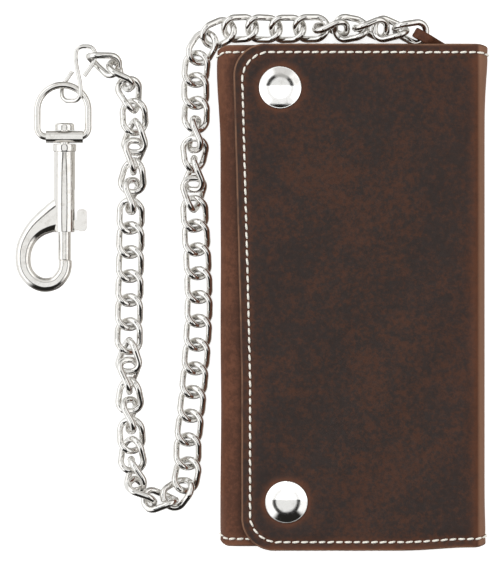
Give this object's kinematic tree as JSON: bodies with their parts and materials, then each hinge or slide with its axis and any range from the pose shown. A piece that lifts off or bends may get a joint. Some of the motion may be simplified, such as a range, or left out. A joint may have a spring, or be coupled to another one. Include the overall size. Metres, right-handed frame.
{
  "type": "chain wallet",
  "caption": "Long folding leather wallet with a snap-down cover, inner card and note pockets, a zip purse, and a curb chain ending in an S-hook and swivel bolt snap.",
  "frame": {"origin": "middle of the flat back face of the closed wallet", "axes": "+X towards the spine fold, +Y along the wallet towards the chain end, +Z out through the cover"},
  "size_m": [0.1653, 0.1888, 0.0226],
  "materials": {
    "leather": "satin",
    "fold_leather": "satin",
    "lining": "matte",
    "tape": "matte",
    "zip_metal": "satin",
    "snap_metal": "polished",
    "chain_metal": "polished",
    "clip_metal": "polished",
    "spring_steel": "satin"
  },
  "bodies": {
    "back": {"back_leather": "leather", "back_lining": "lining", "note_divider": "lining", "note_pocket": "lining", "purse_back": "lining", "purse_front": "lining", "zip_tape": "tape", "zip_teeth": "zip_metal", "chain_tab": "leather", "left_fold": "fold_leather", "spine_lower_bend": "fold_leather"},
    "spine": {"spine_leather": "leather", "spine_upper_bend": "fold_leather"},
    "cover": {"cover_leather": "leather", "cover_lining": "lining", "cover_note_pocket": "lining", "card_slot_back": "lining", "card_slot_middle": "lining", "card_slot_front": "lining", "snap_caps": "snap_metal", "snap_sockets": "snap_metal"},
    "flap": {"flap_leather": "leather", "flap_lining": "lining", "snap_studs": "snap_metal", "snap_posts": "snap_metal"},
    "slider": {"zip_slider": "zip_metal"},
    "puller": {"zip_puller": "zip_metal"},
    "chain_top": {"chain_top": "chain_metal"},
    "chain_right": {"chain_right": "chain_metal"},
    "chain_turn": {"chain_turn": "chain_metal"},
    "chain_left_lower": {"chain_left_lower": "chain_metal"},
    "chain_left_upper": {"chain_left_upper": "chain_metal"},
    "chain_end": {"chain_end": "chain_metal"},
    "s_hook": {"s_hook": "chain_metal"},
    "swivel_eye": {"swivel_eye": "clip_metal"},
    "snap": {"snap_body": "clip_metal", "swivel_rivet": "clip_metal", "bolt_spring": "spring_steel"},
    "bolt": {"snap_bolt": "clip_metal"}
  },
  "joints": [
    {"name": "spine_hinge", "type": "hinge", "parent": "back", "child": "spine", "pos_m": [0.04472, 0, 0.00178], "axis": [0, 1, 0], "range_deg": [0, 90], "deforming": ["spine_lower_bend"]},
    {"name": "cover_hinge", "type": "hinge", "parent": "spine", "child": "cover", "pos_m": [0.04472, 0, 0.01822], "axis": [0, 1, 0], "range_deg": [0, 90], "deforming": ["spine_upper_bend"]},
    {"name": "flap_hinge", "type": "hinge", "parent": "back", "child": "flap", "pos_m": [-0.0465, 0, 0.0073], "axis": [0, 1, 0], "range_deg": [-115.2, 0], "deforming": ["left_fold"]},
    {"name": "zip_slide", "type": "slide", "parent": "back", "child": "slider", "axis": [0, 1, 0], "range_m": [-0.118, 0]},
    {"name": "puller_hinge", "type": "hinge", "parent": "slider", "child": "puller", "pos_m": [0.008, 0.061, 0.0097], "axis": [-1, 0, 0], "range_deg": [0, 10]},
    {"name": "chain_top_hinge", "type": "hinge", "parent": "back", "child": "chain_top", "pos_m": [0.0228, 0.0926, 0.0052], "axis": [0, 0, 1], "range_deg": [-25, 0]},
    {"name": "chain_right_hinge", "type": "hinge", "parent": "chain_top", "child": "chain_right", "pos_m": [-0.0553, 0.0762, 0.0032], "axis": [0, 0, 1], "range_deg": [-25, 0]},
    {"name": "chain_turn_hinge", "type": "hinge", "parent": "chain_right", "child": "chain_turn", "pos_m": [-0.0579, -0.0509, 0.003], "axis": [0, 0, 1], "range_deg": [0, 25]},
    {"name": "chain_left_lower_hinge", "type": "hinge", "parent": "chain_turn", "child": "chain_left_lower", "pos_m": [-0.0774, -0.0598, 0.0054], "axis": [0, 0, 1], "range_deg": [0, 25]},
    {"name": "chain_left_upper_hinge", "type": "hinge", "parent": "chain_left_lower", "child": "chain_left_upper", "pos_m": [-0.0788, -0.0016, 0.0031], "axis": [0, 0, 1], "range_deg": [0, 20]},
    {"name": "chain_end_hinge", "type": "hinge", "parent": "chain_left_upper", "child": "chain_end", "pos_m": [-0.077, 0.0596, 0.005], "axis": [0, 0, 1], "range_deg": [-25, 0]},
    {"name": "s_hook_hinge", "type": "hinge", "parent": "chain_end", "child": "s_hook", "pos_m": [-0.0926, 0.0842, 0.0056], "axis": [0, 0, 1], "range_deg": [-20, 0]},
    {"name": "swivel_eye_hinge", "type": "hinge", "parent": "s_hook", "child": "swivel_eye", "pos_m": [-0.1005, 0.0736, 0.0038], "axis": [0, 0, 1], "range_deg": [-20, 0]},
    {"name": "swivel", "type": "hinge", "parent": "swivel_eye", "child": "snap", "pos_m": [-0.1017, 0.0561, 0.00375], "axis": [0, 1, 0], "continuous": true},
    {"name": "bolt_slide", "type": "slide", "parent": "snap", "child": "bolt", "axis": [0, 1, 0], "range_m": [0, 0.0095], "stiffness_N_per_m": 300, "deforming": ["bolt_spring"]}
  ],
  "couplings": [
    {"joint": "cover_hinge", "follows": "spine_hinge", "ratio": 1},
    {"joint": "flap_hinge", "follows": "spine_hinge", "ratio": -1.28}
  ]
}
